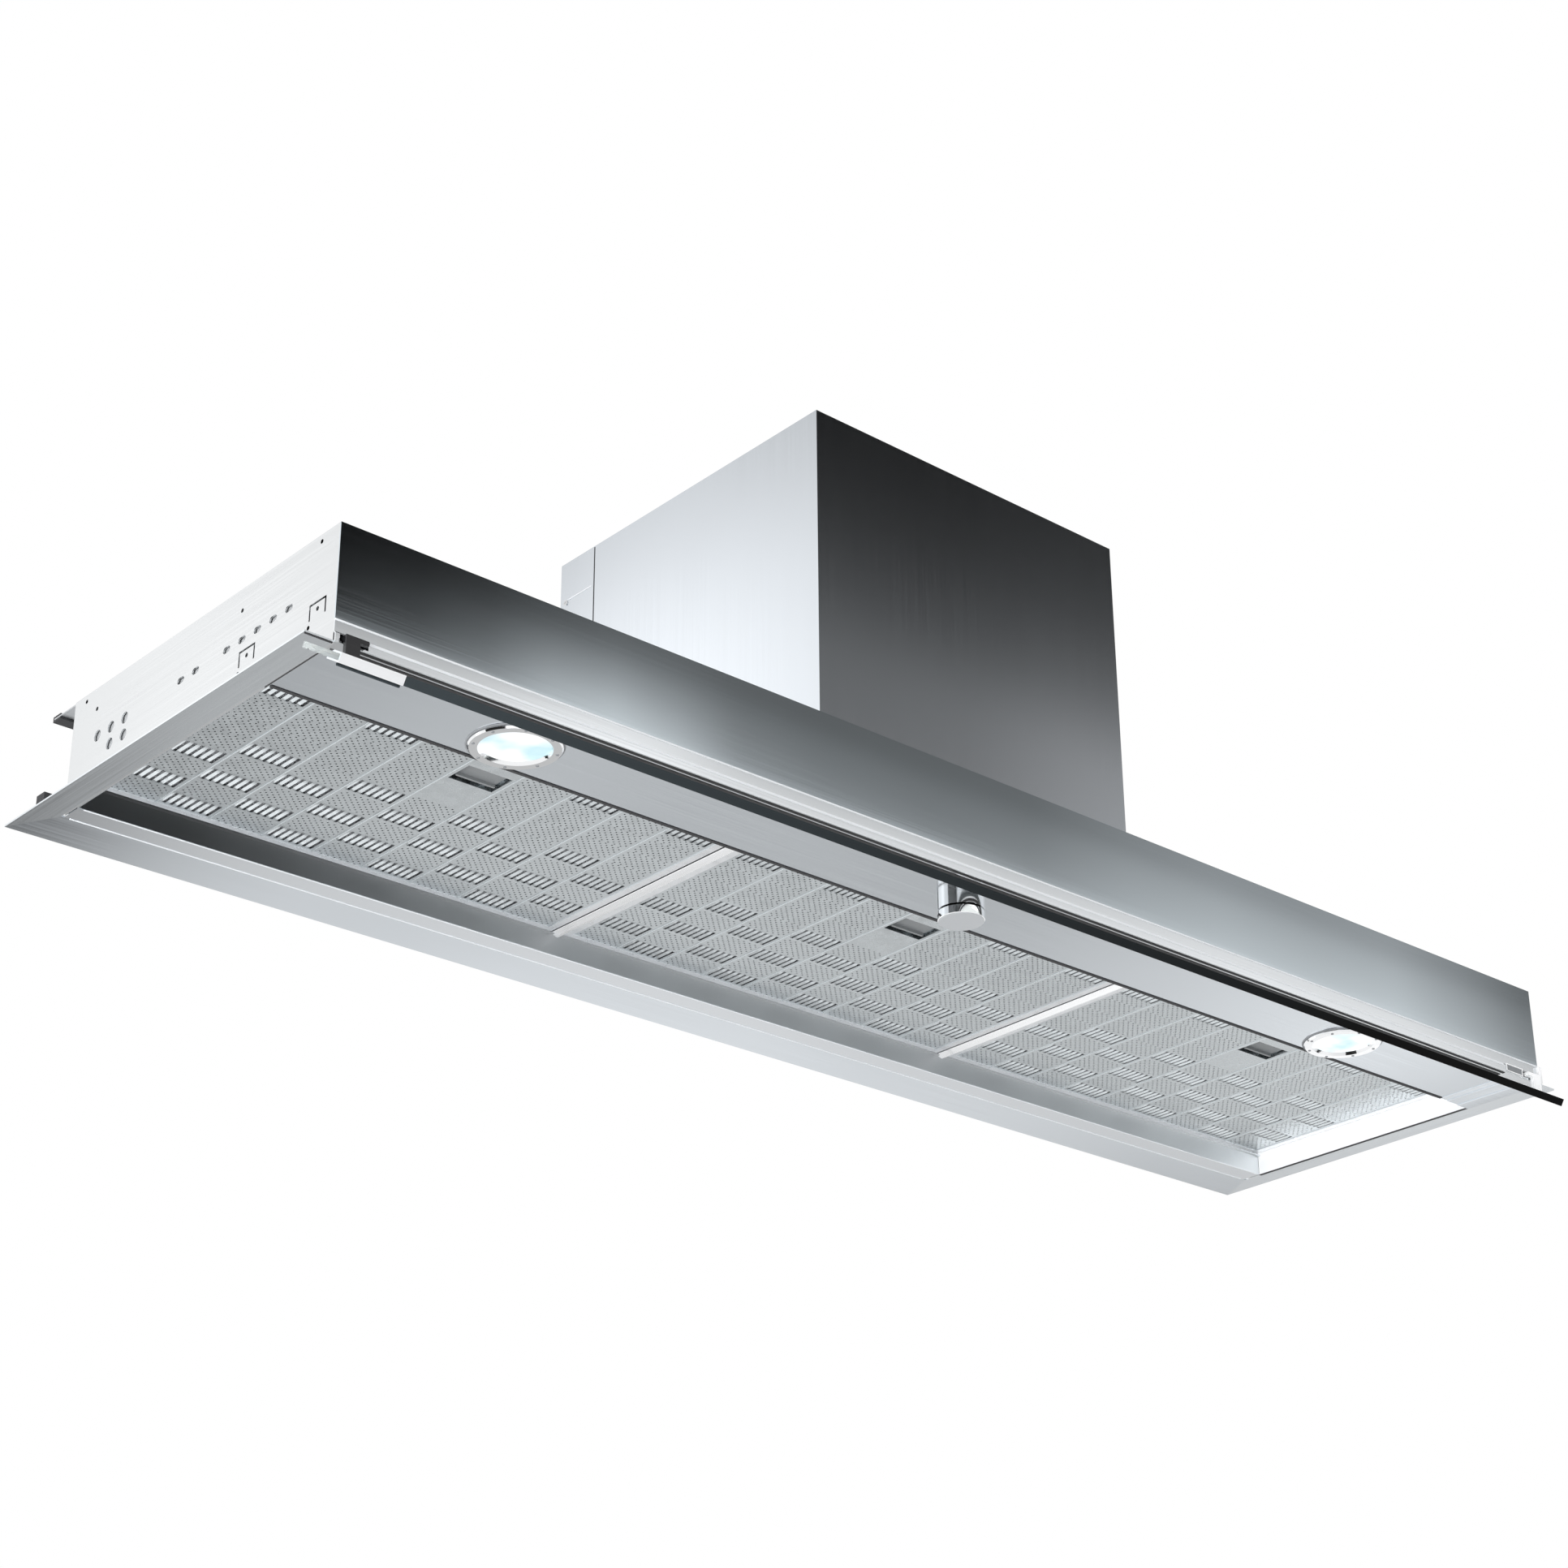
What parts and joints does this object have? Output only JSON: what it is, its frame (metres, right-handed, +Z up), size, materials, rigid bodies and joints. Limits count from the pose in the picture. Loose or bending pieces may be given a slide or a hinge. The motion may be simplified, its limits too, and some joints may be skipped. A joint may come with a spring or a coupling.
{
  "type": "integrated range hood",
  "caption": "Wide built-in range hood: flat canopy, slotted grease filters, round lamps, knob, pull-out glass vapour screen and a fan housing with a duct collar.",
  "frame": {"origin": "bottom centre of the bounding box", "axes": "+X along the width to the right seen from the front, -Y to the front where the cook stands, +Z up"},
  "size_m": [1.196, 0.3664, 0.409],
  "materials": {
    "steel": "brushed stainless steel, satin",
    "steel_front": "brushed stainless steel, reads darker",
    "trim_metal": "satin anodised",
    "galvanised": "zinc-coated sheet",
    "aluminium": "satin pressed sheet",
    "mesh": "layers of expanded mesh",
    "rubber": "matte",
    "black_plastic": "fine grain",
    "white_plastic": "smooth",
    "flap_plastic": "smooth",
    "scroll_plastic": "moulded",
    "impeller_plastic": "moulded",
    "motor_metal": "satin lacquer",
    "zinc": "zinc-plated",
    "chrome": "polished",
    "lamp_glass": "clear with a frosted centre, lit",
    "screen_glass": "clear toughened glass",
    "edge_black": "gloss black profile",
    "latch_plastic": "satin"
  },
  "bodies": {
    "canopy": {"canopy_top": "steel", "side_left": "steel", "side_right": "steel", "canopy_rear": "galvanised", "front_panel": "steel_front", "front_trim": "trim_metal", "flange_left": "steel", "flange_right": "steel", "rear_strip": "steel", "recess_rear": "steel", "recess_left": "steel", "recess_right": "steel", "lamp_panel": "steel", "cross_bar_left": "aluminium", "cross_bar_right": "aluminium", "stop_block_left": "rubber", "stop_block_right": "rubber", "guide_left": "black_plastic", "guide_right": "black_plastic", "lip_seal": "rubber", "housing_cover": "steel_front", "housing_back": "steel", "housing_top": "galvanised", "outlet_collar": "black_plastic", "flap_spindle": "zinc", "fan_scroll": "scroll_plastic", "fan_motor": "motor_metal", "terminal_box": "black_plastic", "cable_gland": "black_plastic", "lamp_driver": "white_plastic", "lamp_ring_left": "chrome", "lamp_lens_left": "lamp_glass", "lamp_can_left": "galvanised", "lamp_ring_right": "chrome", "lamp_lens_right": "lamp_glass", "lamp_can_right": "galvanised", "knob_collar": "chrome", "rotary_switch": "black_plastic"},
    "screen": {"screen_glass": "screen_glass", "screen_edge": "edge_black", "screen_arm_left": "chrome", "screen_arm_right": "chrome"},
    "filter_1": {"filter_1_frame": "aluminium", "filter_1_face": "aluminium", "filter_1_core": "mesh"},
    "latch_1": {"latch_1": "latch_plastic"},
    "filter_2": {"filter_2_frame": "aluminium", "filter_2_face": "aluminium", "filter_2_core": "mesh"},
    "latch_2": {"latch_2": "latch_plastic"},
    "filter_3": {"filter_3_frame": "aluminium", "filter_3_face": "aluminium", "filter_3_core": "mesh"},
    "latch_3": {"latch_3": "latch_plastic"},
    "stem": {"knob_stem": "zinc"},
    "knob": {"knob_cap": "chrome"},
    "impeller": {"impeller": "impeller_plastic", "wheel_frame": "impeller_plastic"},
    "flap_left": {"flap_left": "flap_plastic"},
    "flap_right": {"flap_right": "flap_plastic"}
  },
  "joints": [
    {"name": "screen_pull", "type": "slide", "parent": "canopy", "child": "screen", "axis": [0, -1, 0], "range_m": [0, 0.04]},
    {"name": "filter_1_tilt", "type": "hinge", "parent": "canopy", "child": "filter_1", "pos_m": [-0.384, 0.1239, 0.03631], "axis": [1, 0, 0], "range_deg": [0, 75]},
    {"name": "latch_1_slide", "type": "slide", "parent": "filter_1", "child": "latch_1", "axis": [0, 1, 0], "range_m": [0, 0.005], "stiffness_N_per_m": 400, "springref_m": -0.003},
    {"name": "filter_2_tilt", "type": "hinge", "parent": "canopy", "child": "filter_2", "pos_m": [0, 0.1239, 0.03631], "axis": [1, 0, 0], "range_deg": [0, 75]},
    {"name": "latch_2_slide", "type": "slide", "parent": "filter_2", "child": "latch_2", "axis": [0, 1, 0], "range_m": [0, 0.005], "stiffness_N_per_m": 400, "springref_m": -0.003},
    {"name": "filter_3_tilt", "type": "hinge", "parent": "canopy", "child": "filter_3", "pos_m": [0.384, 0.1239, 0.03631], "axis": [1, 0, 0], "range_deg": [0, 75]},
    {"name": "latch_3_slide", "type": "slide", "parent": "filter_3", "child": "latch_3", "axis": [0, 1, 0], "range_m": [0, 0.005], "stiffness_N_per_m": 400, "springref_m": -0.003},
    {"name": "knob_push", "type": "slide", "parent": "canopy", "child": "stem", "axis": [0, 0, 1], "range_m": [0, 0.0012], "stiffness_N_per_m": 1500, "springref_m": -0.001},
    {"name": "knob_turn", "type": "hinge", "parent": "stem", "child": "knob", "pos_m": [-0.038, -0.1338, 0.00701], "axis": [0, 0, -1], "range_deg": [0, 270]},
    {"name": "impeller_spin", "type": "hinge", "parent": "canopy", "child": "impeller", "pos_m": [0, -0.0088, 0.22301], "axis": [1, 0, 0], "continuous": true},
    {"name": "flap_left_swing", "type": "hinge", "parent": "canopy", "child": "flap_left", "pos_m": [0, 0.04256, 0.38801], "axis": [0, 1, 0], "range_deg": [0, 75]},
    {"name": "flap_right_swing", "type": "hinge", "parent": "canopy", "child": "flap_right", "pos_m": [0, 0.04256, 0.38801], "axis": [0, -1, 0], "range_deg": [0, 75]}
  ]
}
